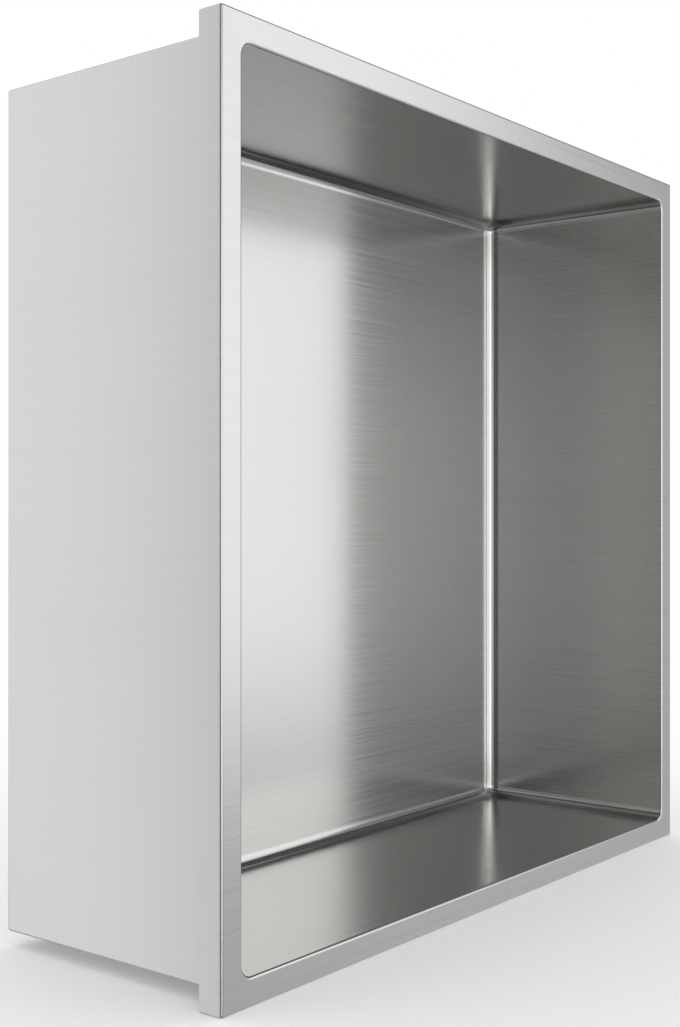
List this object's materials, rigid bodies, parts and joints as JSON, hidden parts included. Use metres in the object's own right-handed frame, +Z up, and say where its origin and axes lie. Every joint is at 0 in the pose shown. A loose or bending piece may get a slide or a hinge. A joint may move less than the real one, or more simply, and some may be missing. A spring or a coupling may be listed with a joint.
{
  "type": "shower niche insert",
  "caption": "Square recessed wall niche of brushed stainless sheet, with a rounded inner tray, a square outer casing and a slim folded rim that covers the edge of the wall cut-out.",
  "frame": {"origin": "middle of the rim's seat, on the face of the wall behind the rim", "axes": "+Z up, +Y into the wall, so the mouth faces -Y, and +X to the right of someone who looks into the mouth"},
  "size_m": [0.325, 0.115, 0.325],
  "materials": {
    "brushed_stainless": "satin brushed stainless steel, fine horizontal grain"
  },
  "bodies": {
    "root": {"niche_insert": "brushed_stainless"}
  },
  "joints": []
}
